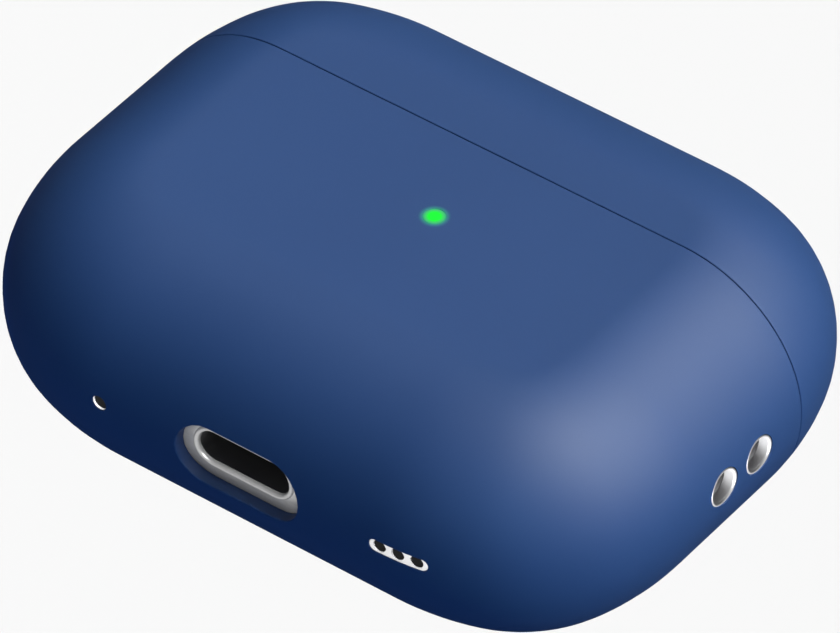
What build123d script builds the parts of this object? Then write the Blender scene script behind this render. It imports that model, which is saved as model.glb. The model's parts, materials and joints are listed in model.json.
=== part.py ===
"""Charging case for wireless earbuds, inside a two-piece silicone sleeve, lying on its back.

+X is the case's right side, with the lanyard eyelets. +Y points at the lid. +Z comes out of the front
face. The origin is the centre of the sleeve's flat back. All sizes are in millimetres.
"""
import os
from math import cos, radians, sin, tan

from build123d import *

# ---- driving dimensions -----------------------------------------------------------------------------
WIDTH = 63.0                 # over the sleeve
HEIGHT = 47.6
DEPTH = 23.3
EDGE_RADIUS = 11.5           # the full-round edge all the way about
CORNER_RADIUS = 14.3         # tight middle arc of each outline corner
CORNER_LEAD_RADIUS = 23.0    # gentler arcs that lead in and out of it
CORNER_LEAD_ANGLE = 20.0

SLEEVE_WALL = 1.1
SHELL_WALL = 1.1
FIT_GAP = 0.03               # between nested fixed pieces
SEAM_Y = 8.07                # the plane where the lid parts from the base
SEAM_GAP = 0.16

HINGE_Z = 2.0                # hinge axis, on the seam plane near the back
LID_TRAVEL = 100.0
KNUCKLE_RADIUS = 0.85
KNUCKLE_LENGTH = 4.0
KNUCKLE_GAP = 0.2
KNUCKLE_CLEARANCE = 0.25     # round the turning knuckles
HINGE_PIN_RADIUS = 0.5
PIN_CLEARANCE = 0.04
LEAF_THICKNESS = 0.6

MID_Z = DEPTH / 2
WELL_X = 15.0                # centre of each head bowl
STEM_X = 15.5                # centre of each stem bore
WELL_Z = 11.9
STEM_BORE_RADIUS = 3.5
STEM_FLOOR_Y = -12.0
WELL_WALL = 1.0

PORT_Z = MID_Z + 0.28
PORT_OPENING = (8.9, 3.0)
PORT_WINDOW = (12.0, 5.9)
PORT_WINDOW_Z = MID_Z - 0.12
SPEAKER_X = 15.64
SPEAKER_Z = MID_Z + 0.04
SPEAKER_SLOT = (5.4, 1.2)
SPEAKER_HOLE_RADIUS = 0.54
SPEAKER_PITCH = 1.68
MIC_X = -13.49
MIC_Z = MID_Z + 0.07
MIC_HOLE_RADIUS = 0.68
MIC_TUBE_RADIUS = 0.95
LIGHT_X = 2.085
LIGHT_Y = -0.77
LIGHT_RADIUS = 0.97
EYELET_YS = (-2.37, 2.30)
EYELET_Z = MID_Z + 0.27
EYELET_RADIUS = 1.72
EYELET_BORE_RADIUS = 1.4
BUTTON_Y = -5.2
BUTTON_RADIUS = 4.0
BUTTON_TRAVEL = 0.3
CONTACT_OFFSET = 1.5         # each contact from its stem's centre line
CONTACT_RADIUS = 0.5
CONTACT_TRAVEL = 0.5

PIPE_RADIUS = 0.8            # light pipe between the status light and the front wall
MAIN_BOARD_Z = 17.5          # back face of the main board
BOARD_THICKNESS = 0.8
BOARD_FRONT = MAIN_BOARD_Z + BOARD_THICKNESS
SCREW_RADIUS = 0.55
LUG_RADIUS = 1.5             # posts on the stems that the board is screwed to
LUG_Y = -5.0

SHELL_INSET = SLEEVE_WALL + FIT_GAP            # outside of the white shells
INNER_INSET = SHELL_INSET + SHELL_WALL         # inside of them
LINER_INSET = INNER_INSET + FIT_GAP            # outside of the cradle and liner
SHELL_BACK = SHELL_INSET
SHELL_FRONT = DEPTH - SHELL_INSET
BOTTOM_Y = -HEIGHT / 2
REACH = 80.0                                   # longer than the case, for cutting blocks


# ---- shared shapes ----------------------------------------------------------------------------------
def block(x_range, y_range, z_range):
    """Box between the given low and high values on each axis."""
    low = (x_range[0], y_range[0], z_range[0])
    high = (x_range[1], y_range[1], z_range[1])
    size = [b - a for a, b in zip(low, high)]
    centre = [(a + b) / 2 for a, b in zip(low, high)]
    return Pos(*centre) * Box(*size)


def rod(radius, start, end):
    """Cylinder from one point to another."""
    run = Vector(*end) - Vector(*start)
    return extrude(Plane(origin=start, z_dir=run) * Circle(radius), amount=run.length)


def tube(outer, inner, start, end):
    return rod(outer, start, end) - rod(inner, start, end)


def slot_along_y(size, x, z, y_range):
    """Round-ended prism that runs along Y; size is its length in X and its height in Z."""
    plane = Plane(origin=(x, y_range[0], z), x_dir=(1, 0, 0), z_dir=(0, 1, 0))
    return extrude(plane * SlotOverall(*size), amount=y_range[1] - y_range[0])


def corner_arcs(inset):
    """Three tangent arcs of the outline's first-quadrant corner, as start, middle and end points."""
    lead = CORNER_LEAD_RADIUS - inset
    tight = CORNER_RADIUS - inset
    offset = lead - tight
    angle = radians(CORNER_LEAD_ANGLE)
    half = angle / 2
    tight_x = WIDTH / 2 - CORNER_LEAD_RADIUS + offset * cos(angle)
    tight_y = HEIGHT / 2 - CORNER_LEAD_RADIUS + offset * cos(angle)
    side_x, side_y = tight_x - offset * cos(angle), tight_y - offset * sin(angle)
    top_x, top_y = tight_x - offset * sin(angle), tight_y - offset * cos(angle)
    diagonal = radians(45)
    side_end = (tight_x + tight * cos(angle), tight_y + tight * sin(angle))
    top_end = (tight_x + tight * sin(angle), tight_y + tight * cos(angle))
    return (
        ((side_x + lead, side_y), (side_x + lead * cos(half), side_y + lead * sin(half)), side_end),
        (side_end, (tight_x + tight * cos(diagonal), tight_y + tight * sin(diagonal)), top_end),
        (top_end, (top_x + lead * sin(half), top_y + lead * cos(half)), (top_x, top_y + lead)),
    )


def outline(inset):
    """Front-view outline, drawn in by inset on every side."""
    arcs = corner_arcs(inset)
    side_x, side_y = arcs[0][0]
    top_x, top_y = arcs[2][2]
    edges = []
    for sx, sy in ((1, 1), (-1, 1), (-1, -1), (1, -1)):
        for arc in arcs:
            edges.append(ThreePointArc(*[(sx * x, sy * y) for x, y in arc]))
    for sign in (1, -1):
        edges.append(Line((sign * side_x, -side_y), (sign * side_x, side_y)))
        edges.append(Line((-top_x, sign * top_y), (top_x, sign * top_y)))
    return make_face(edges)


def pebble(inset):
    """The case's rounded body, drawn in by inset all over."""
    body = Pos(0, 0, inset) * extrude(outline(inset), amount=DEPTH - 2 * inset)
    faces = body.faces().sort_by(Axis.Z)
    return fillet(faces[0].edges() + faces[-1].edges(), EDGE_RADIUS - inset)


def base_side(part):
    return part & block((-REACH, REACH), (-REACH, SEAM_Y - SEAM_GAP / 2), (-REACH, REACH))


def lid_side(part):
    return part & block((-REACH, REACH), (SEAM_Y + SEAM_GAP / 2, REACH), (-REACH, REACH))


def hinge_groove():
    """V along the back of the seam. Its two faces meet, less a small gap, when the lid is fully open."""
    stop_gap = 3.0
    slope = tan(radians((180 - LID_TRAVEL - stop_gap) / 2))
    below = 1.0
    half = (HINGE_Z + below) / slope
    corners = [(SEAM_Y, HINGE_Z), (SEAM_Y + half, -below), (SEAM_Y - half, -below)]
    profile = Plane.YZ * make_face(Polyline(corners, close=True))
    return extrude(profile, amount=REACH / 2, both=True)


def hinge_span():
    """Half the width of the row of five knuckles."""
    return (5 * KNUCKLE_LENGTH + 4 * KNUCKLE_GAP) / 2


def knuckle_room():
    half = hinge_span() + KNUCKLE_CLEARANCE
    return rod(KNUCKLE_RADIUS + KNUCKLE_CLEARANCE, (-half, SEAM_Y, HINGE_Z), (half, SEAM_Y, HINGE_Z))


# ---- sleeve -----------------------------------------------------------------------------------------
def sleeve_skin():
    """Silicone skin before it is parted, with the window over the hinge."""
    window_half_width, window_half_height, window_corner = 14.0, 3.4, 1.6
    window = RectangleRounded(2 * window_half_width, 2 * window_half_height, window_corner)
    skin = pebble(0) - pebble(SLEEVE_WALL) - hinge_groove()
    return skin - extrude(Pos(0, SEAM_Y, -1) * window, amount=SLEEVE_WALL + 2)


def sleeve_base():
    outside = (BOTTOM_Y - 1, BOTTOM_Y + 3)
    lip = 0.1
    button_window_radius = 4.8
    part = base_side(sleeve_skin())
    part -= slot_along_y(PORT_WINDOW, 0, PORT_WINDOW_Z, outside)
    part -= slot_along_y(SPEAKER_SLOT, SPEAKER_X, SPEAKER_Z, outside)
    part -= rod(MIC_HOLE_RADIUS, (MIC_X, outside[0], MIC_Z), (MIC_X, outside[1], MIC_Z))
    part -= rod(MIC_TUBE_RADIUS + 0.02, (MIC_X, BOTTOM_Y + lip, MIC_Z), (MIC_X, outside[1], MIC_Z))
    for y in EYELET_YS:
        part -= rod(EYELET_RADIUS + 0.02, (WIDTH / 2 - 3, y, EYELET_Z), (WIDTH / 2 + 1, y, EYELET_Z))
    part -= rod(LIGHT_RADIUS + 0.01, (LIGHT_X, LIGHT_Y, DEPTH - 3), (LIGHT_X, LIGHT_Y, DEPTH + 1))
    return part - rod(button_window_radius, (0, BUTTON_Y, -1), (0, BUTTON_Y, SLEEVE_WALL + 0.5))


TAPE_X, TAPE_Y = (-13.0, 13.0), (SEAM_Y + 0.9, SEAM_Y + 3.7)
TAPE_THICKNESS = 0.15


def sleeve_lid():
    pocket_depth = TAPE_THICKNESS + 0.02
    pocket_bottom = DEPTH - SLEEVE_WALL
    margin = 0.05
    pocket = block(
        (TAPE_X[0] - margin, TAPE_X[1] + margin),
        (TAPE_Y[0] - margin, TAPE_Y[1] + margin),
        (pocket_bottom - 1, pocket_bottom + pocket_depth),
    )
    return lid_side(sleeve_skin()) - pocket


def lid_tape():
    """Sticky strip that keeps the sleeve's lid on the case's lid."""
    bottom = DEPTH - SLEEVE_WALL
    return block(TAPE_X, TAPE_Y, (bottom, bottom + TAPE_THICKNESS))


def light_window():
    """Translucent plug, flush with the sleeve, over the status light."""
    plug = rod(LIGHT_RADIUS, (LIGHT_X, LIGHT_Y, SHELL_FRONT + 0.02), (LIGHT_X, LIGHT_Y, DEPTH))
    return chamfer(plug.faces().sort_by(Axis.Z)[-1].edges(), 0.08)


def eyelet_rings():
    """Two polished ferrules in the sleeve's right side, trimmed to its curve."""
    room = pebble(0)
    rings = []
    for y in EYELET_YS:
        start = (WIDTH / 2 - SHELL_INSET + 0.03, y, EYELET_Z)
        end = (WIDTH / 2 + 1, y, EYELET_Z)
        rings.append(tube(EYELET_RADIUS, EYELET_BORE_RADIUS, start, end) & room)
    return rings


# ---- white shells -----------------------------------------------------------------------------------
BEZEL_SIZE = (12.5, 6.4)
GRILLE_FLANGE = (6.8, 2.2)
INSIDE_BOTTOM_Y = BOTTOM_Y + INNER_INSET


def shell_skin():
    return pebble(SHELL_INSET) - pebble(INNER_INSET) - hinge_groove() - knuckle_room()


def rivet_xs():
    """Each leaf's rivets stand at the middle of its outer knuckles."""
    pitch = KNUCKLE_LENGTH + KNUCKLE_GAP
    return {"base": (-2 * pitch, 2 * pitch), "lid": (-pitch, pitch)}


BASE_RIVET_Y = SEAM_Y - 2.4
LID_RIVET_Y = SEAM_Y + 2.6
RIVET_RADIUS = 0.5


def rivet_holes(side, y):
    hole = RIVET_RADIUS + 0.03
    blind = SHELL_BACK + 0.4
    return [rod(hole, (x, y, blind), (x, y, blind + 3)) for x in rivet_xs()[side]]


def case_shell():
    outside = (BOTTOM_Y - 1, BOTTOM_Y + 5)
    easy = 0.04
    part = base_side(shell_skin())
    part -= slot_along_y((BEZEL_SIZE[0] + easy, BEZEL_SIZE[1] + easy), 0, MID_Z, outside)
    part -= slot_along_y((SPEAKER_SLOT[0], SPEAKER_SLOT[1]), SPEAKER_X, SPEAKER_Z, outside)
    tube_hole = MIC_TUBE_RADIUS + easy / 2
    part -= rod(tube_hole, (MIC_X, outside[0], MIC_Z), (MIC_X, outside[1], MIC_Z))
    for y in EYELET_YS:
        part -= rod(EYELET_RADIUS + 0.02, (WIDTH / 2 - 5, y, EYELET_Z), (WIDTH / 2, y, EYELET_Z))
    part -= rod(PIPE_RADIUS + 0.02, (LIGHT_X, LIGHT_Y, DEPTH - 4), (LIGHT_X, LIGHT_Y, DEPTH))
    part -= rod(BUTTON_RADIUS + 0.08, (0, BUTTON_Y, 0), (0, BUTTON_Y, SHELL_BACK + 2))
    for hole in rivet_holes("base", BASE_RIVET_Y):
        part -= hole
    return part


def lid_shell():
    part = lid_side(shell_skin())
    for hole in rivet_holes("lid", LID_RIVET_Y):
        part -= hole
    return part


# ---- cradle and lid liner ---------------------------------------------------------------------------
BOWL_SIZE = (20.0, 15.4)
BOWL_DEPTH = 7.0
BOWL_TAPER = 14.0
LID_BOWL_DEPTH = 10.4
LID_BOWL_TAPER = 16.5
DECK_GAP = 0.2
DECK_THICKNESS = 1.4


def bowl(side, direction, wall, depth, taper):
    """Tapered, round-ended hollow that starts at the deck and runs along direction in Y."""
    y = SEAM_Y + direction * DECK_GAP
    plane = Plane(origin=(side * WELL_X, y, WELL_Z), x_dir=(1, 0, 0), z_dir=(0, direction, 0))
    length, width = BOWL_SIZE[0] + 2 * wall, BOWL_SIZE[1] + 2 * wall
    face = plane * RectangleRounded(length, width, width / 2 - 0.1)
    solid = extrude(face, amount=depth + wall, taper=taper)
    end_face = solid.faces().sort_by(Axis.Y)[-1 if direction > 0 else 0]
    return fillet(end_face.edges(), 2.0 + wall)


def hinge_pocket():
    """Room behind the deck for the hinge's leaves and rivet heads."""
    margin = 0.4
    half = hinge_span() + margin
    return block((-half, half), (SEAM_Y - 8, SEAM_Y + 8), (0, HINGE_Z + KNUCKLE_RADIUS + 0.5))


def cradle():
    """Base insert with a bowl for each earbud's head and a bore for its stem."""
    top = SEAM_Y - DECK_GAP
    inner_bowls = [bowl(side, -1, 0, BOWL_DEPTH, BOWL_TAPER) for side in (-1, 1)]
    part = pebble(LINER_INSET) & block((-REACH, REACH), (top - DECK_THICKNESS, top), (-REACH, REACH))
    for side in (-1, 1):
        part += bowl(side, -1, WELL_WALL, BOWL_DEPTH, BOWL_TAPER)
        stem_top = (side * STEM_X, top - 4, WELL_Z)
        stem_end = (side * STEM_X, STEM_FLOOR_Y - WELL_WALL, WELL_Z)
        part += rod(STEM_BORE_RADIUS + WELL_WALL - 0.2, stem_top, stem_end)
        lug_top = MAIN_BOARD_Z - 0.02
        part += rod(LUG_RADIUS, (side * STEM_X, LUG_Y, WELL_Z + 2), (side * STEM_X, LUG_Y, lug_top))
    for side, hollow in zip((-1, 1), inner_bowls):
        part -= hollow
        floor = (side * STEM_X, STEM_FLOOR_Y, WELL_Z)
        part -= rod(STEM_BORE_RADIUS, (side * STEM_X, top - 2, WELL_Z), floor)
        screw_end = WELL_Z + STEM_BORE_RADIUS + 0.9
        part -= rod(SCREW_RADIUS + 0.03, (side * STEM_X, LUG_Y, screw_end), (side * STEM_X, LUG_Y, 20))
        for offset in (-CONTACT_OFFSET, CONTACT_OFFSET):
            x = side * STEM_X + offset
            hole = CONTACT_RADIUS + 0.05
            part -= rod(hole, (x, STEM_FLOOR_Y - 2, WELL_Z), (x, STEM_FLOOR_Y + 1, WELL_Z))
    return part - hinge_pocket()


def lid_liner():
    """Lid insert with a hollow for the top of each earbud's head."""
    start = SEAM_Y + DECK_GAP
    room = pebble(LINER_INSET)
    part = room & block((-REACH, REACH), (start, start + DECK_THICKNESS), (-REACH, REACH))
    for side in (-1, 1):
        part += bowl(side, 1, WELL_WALL, LID_BOWL_DEPTH, LID_BOWL_TAPER) & room
    for side in (-1, 1):
        part -= bowl(side, 1, 0, LID_BOWL_DEPTH, LID_BOWL_TAPER)
    return part - hinge_pocket()


# ---- hinge ------------------------------------------------------------------------------------------
BASE_LEAF_REACH = 3.9
LID_LEAF_REACH = 4.4


def knuckle(index, radius, gap=0.0):
    """One of the row of five, numbered -2 to 2 along X."""
    pitch = KNUCKLE_LENGTH + KNUCKLE_GAP
    half = KNUCKLE_LENGTH / 2 + gap
    start = (index * pitch - half, SEAM_Y, HINGE_Z)
    end = (index * pitch + half, SEAM_Y, HINGE_Z)
    return rod(radius, start, end)


def hinge_leaf(direction, own, others, reach, rivet_y, rivets):
    """Plate behind the shell's back wall, rolled into its own knuckles and cut away round the others."""
    half = hinge_span()
    top = HINGE_Z + KNUCKLE_RADIUS
    part = block((-half, half), sorted((SEAM_Y, SEAM_Y + direction * reach)), (top - LEAF_THICKNESS, top))
    cut = KNUCKLE_RADIUS + KNUCKLE_CLEARANCE
    for index in others:
        part -= knuckle(index, cut, KNUCKLE_GAP)
        x = index * (KNUCKLE_LENGTH + KNUCKLE_GAP)
        half_cut = KNUCKLE_LENGTH / 2 + KNUCKLE_GAP
        y_range = sorted((SEAM_Y - direction, SEAM_Y + direction * cut))
        part -= block((x - half_cut, x + half_cut), y_range, (0, top + 1))
    for index in own:
        part += knuckle(index, KNUCKLE_RADIUS)
    part -= rod(HINGE_PIN_RADIUS + PIN_CLEARANCE, (-half - 1, SEAM_Y, HINGE_Z), (half + 1, SEAM_Y, HINGE_Z))
    for x in rivets:
        part -= rod(RIVET_RADIUS + 0.03, (x, rivet_y, 0), (x, rivet_y, 5))
    return part


def hinge_base_leaf():
    return hinge_leaf(-1, (-2, 0, 2), (-1, 1), BASE_LEAF_REACH, BASE_RIVET_Y, rivet_xs()["base"])


def hinge_lid_leaf():
    return hinge_leaf(1, (-1, 1), (-2, 0, 2), LID_LEAF_REACH, LID_RIVET_Y, rivet_xs()["lid"])


def hinge_pin():
    half = hinge_span()
    pin = rod(HINGE_PIN_RADIUS, (-half, SEAM_Y, HINGE_Z), (half, SEAM_Y, HINGE_Z))
    return chamfer(pin.edges().filter_by(GeomType.CIRCLE), 0.1)


def rivets(side, y):
    """Shanks through the leaf into the shell, with low heads on the inside."""
    head_radius, head_height = 0.95, 0.28
    foot = SHELL_BACK + 0.45
    seat = HINGE_Z + KNUCKLE_RADIUS + 0.01
    group = []
    for x in rivet_xs()[side]:
        shank = rod(RIVET_RADIUS, (x, y, foot), (x, y, seat))
        group.append(shank + rod(head_radius, (x, y, seat), (x, y, seat + head_height)))
    return group


# ---- charging port ----------------------------------------------------------------------------------
PORT_SHELL_OUTER = (8.94, 3.16)
PORT_SHELL_INNER = (8.34, 2.56)
PORT_SHELL_Y = (-21.5, -15.25)


def port_bezel():
    """Metal ring flush with the white shell, with a rolled lip about the opening."""
    back = INSIDE_BOTTOM_Y
    ring = slot_along_y(BEZEL_SIZE, 0, MID_Z, (BOTTOM_Y, back)) & pebble(SHELL_INSET)
    ring -= slot_along_y(PORT_OPENING, 0, PORT_Z, (BOTTOM_Y - 1, back + 1))
    return ring


def port_shell():
    outer = slot_along_y(PORT_SHELL_OUTER, 0, PORT_Z, PORT_SHELL_Y)
    return outer - slot_along_y(PORT_SHELL_INNER, 0, PORT_Z, (PORT_SHELL_Y[0] - 1, PORT_SHELL_Y[1] + 1))


TONGUE_SIZE = (6.69, 0.7)
TONGUE_Y = (-20.0, -15.95)


def port_core():
    """Plastic back plug with the tongue that carries the contacts."""
    plug_size = (PORT_SHELL_INNER[0] - 0.04, PORT_SHELL_INNER[1] - 0.04)
    plug = slot_along_y(plug_size, 0, PORT_Z, (TONGUE_Y[1], PORT_SHELL_Y[1]))
    half_x, half_z = TONGUE_SIZE[0] / 2, TONGUE_SIZE[1] / 2
    return plug + block((-half_x, half_x), (TONGUE_Y[0], TONGUE_Y[1] + 0.1), (PORT_Z - half_z, PORT_Z + half_z))


def port_contacts():
    """Twelve gold strips on each face of the tongue."""
    count, pitch, width, height = 12, 0.5, 0.25, 0.06
    face = TONGUE_SIZE[1] / 2 + 0.005
    strips = []
    for row in range(count):
        x = (row - (count - 1) / 2) * pitch
        for low in (PORT_Z + face, PORT_Z - face - height):
            x_range = (x - width / 2, x + width / 2)
            strips.append(block(x_range, (TONGUE_Y[0] + 0.3, TONGUE_Y[1] - 0.05), (low, low + height)))
    return strips


PORT_BOARD_Z = PORT_Z - PORT_SHELL_OUTER[1] / 2 - 0.65


def port_board():
    """Small board under the receptacle."""
    half_length, thickness = 5.6, 0.6
    return block((-half_length, half_length), (-19.6, -15.0), (PORT_BOARD_Z, PORT_BOARD_Z + thickness))


def port_flex():
    """Flat cable from the port board up to the main board."""
    half_width, y_range = 3.0, (-14.97, -14.82)
    return block((-half_width, half_width), y_range, (PORT_BOARD_Z, MAIN_BOARD_Z - 0.02))


# ---- sound --------------------------------------------------------------------------------------------
def speaker_grille():
    """White insert that fills the sleeve's slot, with three sound holes and a flange inside the shell."""
    clear = 0.04
    recess = 0.1
    size = (SPEAKER_SLOT[0] - clear, SPEAKER_SLOT[1] - clear)
    inner_y = INSIDE_BOTTOM_Y + 0.85
    part = slot_along_y(size, SPEAKER_X, SPEAKER_Z, (BOTTOM_Y, inner_y)) & pebble(recess)
    part += slot_along_y(GRILLE_FLANGE, SPEAKER_X, SPEAKER_Z, (inner_y - 0.02, inner_y + 0.4))
    for index in (-1, 0, 1):
        x = SPEAKER_X + index * SPEAKER_PITCH
        part -= rod(SPEAKER_HOLE_RADIUS, (x, BOTTOM_Y - 1, SPEAKER_Z), (x, INSIDE_BOTTOM_Y + 3, SPEAKER_Z))
    return part


MESH_Y = INSIDE_BOTTOM_Y + 1.27


def speaker_mesh():
    size, thickness = (5.8, 1.8), 0.12
    return slot_along_y(size, SPEAKER_X, SPEAKER_Z, (MESH_Y, MESH_Y + thickness))


def speaker_module():
    """Speaker's can, up against the mesh."""
    half_length, half_width, corner = 3.6, 2.1, 0.6
    x_range = (SPEAKER_X - half_length, SPEAKER_X + half_length)
    z_range = (SPEAKER_Z - half_width, SPEAKER_Z + half_width)
    can = block(x_range, (MESH_Y + 0.15, -17.1), z_range)
    return fillet(can.edges().filter_by(Axis.Y), corner)


def mic_tube():
    """White sound tube that comes up under the thin lip of the sleeve."""
    start = (MIC_X, BOTTOM_Y + 0.11, MIC_Z)
    end = (MIC_X, INSIDE_BOTTOM_Y + 0.3, MIC_Z)
    return tube(MIC_TUBE_RADIUS, MIC_HOLE_RADIUS, start, end)


def mic_mesh():
    low = BOTTOM_Y + 0.42
    return rod(MIC_HOLE_RADIUS - 0.02, (MIC_X, low, MIC_Z), (MIC_X, low + 0.12, MIC_Z))


def microphone():
    low = INSIDE_BOTTOM_Y + 0.33
    return block((MIC_X - 1.6, MIC_X + 1.6), (low, low + 1.0), (MIC_Z - 1.1, MIC_Z + 1.1))


# ---- status light -------------------------------------------------------------------------------------
def status_led():
    half_x, half_y, height = 0.8, 0.4, 0.55
    x_range, y_range = (LIGHT_X - half_x, LIGHT_X + half_x), (LIGHT_Y - half_y, LIGHT_Y + half_y)
    return block(x_range, y_range, (BOARD_FRONT + 0.01, BOARD_FRONT + height))


def light_pipe():
    """Clear rod from the light on the board to the outside of the front wall."""
    foot = BOARD_FRONT + 0.65
    flange_top = DEPTH - INNER_INSET - 0.02
    part = rod(PIPE_RADIUS, (LIGHT_X, LIGHT_Y, foot), (LIGHT_X, LIGHT_Y, SHELL_FRONT))
    return part + rod(PIPE_RADIUS + 0.5, (LIGHT_X, LIGHT_Y, flange_top - 0.5), (LIGHT_X, LIGHT_Y, flange_top))


# ---- electronics --------------------------------------------------------------------------------------
def main_board():
    """Board across the front of the stems, with a tab up between the bowls for the status light."""
    lower = Pos(0, -8.6, MAIN_BOARD_Z) * RectangleRounded(42.0, 14.8, 3.0)
    tab = Pos(0, -2.5, MAIN_BOARD_Z) * RectangleRounded(11.0, 10.0, 1.0)
    part = extrude(lower + tab, amount=BOARD_THICKNESS)
    for side in (-1, 1):
        part -= rod(SCREW_RADIUS + 0.05, (side * STEM_X, LUG_Y, 0), (side * STEM_X, LUG_Y, DEPTH))
    return part


def board_chips():
    """Charge controller, radio, regulators and connectors, all on the front of the main board."""
    layout = (
        (-9.0, -9.5, 6.0, 6.0, 1.0),
        (-1.5, -9.0, 4.6, 4.6, 0.9),
        (5.2, -9.4, 3.4, 5.2, 0.9),
        (10.6, -10.8, 3.0, 3.0, 0.7),
        (-16.0, -11.0, 3.2, 2.4, 0.8),
        (16.0, -11.5, 3.6, 2.0, 0.9),
        (-3.0, -14.2, 7.0, 1.8, 1.1),
        (0.0, 1.0, 2.2, 1.4, 0.7),
    )
    low = BOARD_FRONT + 0.01
    chips = []
    for x, y, length, width, height in layout:
        x_range, y_range = (x - length / 2, x + length / 2), (y - width / 2, y + width / 2)
        chips.append(block(x_range, y_range, (low, low + height)))
    passive = 0.5
    for row in range(8):
        x = -13.0 + 3.4 * row
        chips.append(block((x, x + 2 * passive), (-5.0, -5.0 + passive), (low, low + passive)))
    return chips


def board_screws():
    head_radius, head_height = 1.05, 0.55
    seat = BOARD_FRONT + 0.01
    foot = WELL_Z + STEM_BORE_RADIUS + 1.0
    group = []
    for side in (-1, 1):
        x = side * STEM_X
        shank = rod(SCREW_RADIUS, (x, LUG_Y, foot), (x, LUG_Y, seat))
        group.append(shank + rod(head_radius, (x, LUG_Y, seat), (x, LUG_Y, seat + head_height)))
    return group


BATTERY_FRONT = 16.2


def battery():
    """Cell between the stem bores, behind the main board."""
    half_length, corner = 10.4, 1.6
    cell = block((-half_length, half_length), (-14.4, -0.9), (5.2, BATTERY_FRONT))
    return fillet(cell.edges().filter_by(Axis.Y), corner)


def battery_flex():
    """Battery lead over the cell's front, up to the underside of the main board."""
    x_range, near_y, far_y, thickness = (4.0, 8.0), -4.0, -12.0, 0.15
    low = BATTERY_FRONT + 0.05
    run = block(x_range, (far_y, near_y), (low, low + thickness))
    return run + block(x_range, (near_y - 0.2, near_y), (low + 0.05, MAIN_BOARD_Z - 0.02))


COIL_OUTER, COIL_INNER = 9.0, 5.4
COIL_Z = 2.5


def charging_coil():
    """Flat coil round the setup button, with the grooves between its turns."""
    turns, groove_depth = 6, 0.12
    pitch = (COIL_OUTER - COIL_INNER) / turns
    part = tube(COIL_OUTER, COIL_INNER, (0, BUTTON_Y, COIL_Z), (0, BUTTON_Y, COIL_Z + 0.5))
    for turn in range(1, turns):
        middle = COIL_INNER + turn * pitch
        top = COIL_Z + 0.5
        part -= tube(middle + 0.08, middle - 0.08, (0, BUTTON_Y, top - groove_depth), (0, BUTTON_Y, top + 1))
    return part


def ferrite_sheet():
    low = COIL_Z + 0.53
    return tube(COIL_OUTER + 0.1, COIL_INNER - 0.1, (0, BUTTON_Y, low), (0, BUTTON_Y, low + 0.3))


def hall_sensor():
    """Lid sensor on the end of the board's tab, below the closing magnet."""
    half_length, thickness = 0.9, 0.6
    low = MAIN_BOARD_Z - thickness - 0.02
    return block((-half_length, half_length), (0.6, 2.0), (low, low + thickness))


# ---- magnets --------------------------------------------------------------------------------------------
MAGNET_Z = (16.9, 19.3)
MAGNET_HALF_LENGTH = 4.4
MAGNET_THICKNESS = 2.0
MAGNET_OFFSET = DECK_GAP + DECK_THICKNESS + 0.02   # from the seam to each closing magnet


def base_magnet():
    top = SEAM_Y - MAGNET_OFFSET
    return block((-MAGNET_HALF_LENGTH, MAGNET_HALF_LENGTH), (top - MAGNET_THICKNESS, top), MAGNET_Z)


def lid_magnet():
    low = SEAM_Y + MAGNET_OFFSET
    return block((-MAGNET_HALF_LENGTH, MAGNET_HALF_LENGTH), (low, low + MAGNET_THICKNESS), MAGNET_Z)


def bud_magnets():
    """One magnet behind each stem bore, to hold the earbud down on its contacts."""
    half_length, thickness = 2.4, 1.8
    front = WELL_Z - STEM_BORE_RADIUS - WELL_WALL + 0.15
    blocks = []
    for side in (-1, 1):
        x_range = (side * STEM_X - half_length, side * STEM_X + half_length)
        blocks.append(block(x_range, (-9.0, -3.0), (front - thickness, front)))
    return blocks


# ---- setup button ---------------------------------------------------------------------------------------
BUTTON_BACK = SHELL_BACK + 0.05


def setup_button():
    """Round cap flush with the shell's back; its flange stops it falling out."""
    flange_low = SHELL_BACK + SHELL_WALL + 0.08
    cap = rod(BUTTON_RADIUS, (0, BUTTON_Y, BUTTON_BACK), (0, BUTTON_Y, flange_low + 0.1))
    cap = fillet(cap.faces().sort_by(Axis.Z)[0].edges(), 0.15)
    return cap + rod(BUTTON_RADIUS + 0.5, (0, BUTTON_Y, flange_low), (0, BUTTON_Y, flange_low + 0.35))


PLUNGER_FOOT = SHELL_BACK + SHELL_WALL + 0.45
PLUNGER_TOP = PLUNGER_FOOT + 0.9
PLUNGER_RADIUS = 1.0
SWITCH_Z = PLUNGER_TOP - 0.1
SWITCH_HEIGHT = 0.95


def switch_plunger():
    return rod(PLUNGER_RADIUS, (0, BUTTON_Y, PLUNGER_FOOT), (0, BUTTON_Y, PLUNGER_TOP))


def tact_switch():
    """Switch body, with the well that its plunger is pressed into."""
    half = 2.1
    y_range = (BUTTON_Y - half, BUTTON_Y + half)
    body = block((-half, half), y_range, (SWITCH_Z, SWITCH_Z + SWITCH_HEIGHT))
    well_end = PLUNGER_TOP + BUTTON_TRAVEL + 0.1
    return body - rod(PLUNGER_RADIUS + 0.1, (0, BUTTON_Y, SWITCH_Z - 1), (0, BUTTON_Y, well_end))


def button_board():
    half_length, half_width, thickness = 4.5, 3.5, 0.4
    low = SWITCH_Z + SWITCH_HEIGHT + 0.02
    y_range = (BUTTON_Y - half_width, BUTTON_Y + half_width)
    return block((-half_length, half_length), y_range, (low, low + thickness))


# ---- charging contacts ----------------------------------------------------------------------------------
CARRIER_Y = (STEM_FLOOR_Y - WELL_WALL - 3.5, STEM_FLOOR_Y - WELL_WALL - 0.02)
COLLAR_RADIUS = 0.85
COLLAR_TOP = STEM_FLOOR_Y - WELL_WALL - 0.08
COLLAR_BOTTOM = COLLAR_TOP - 0.5


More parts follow.
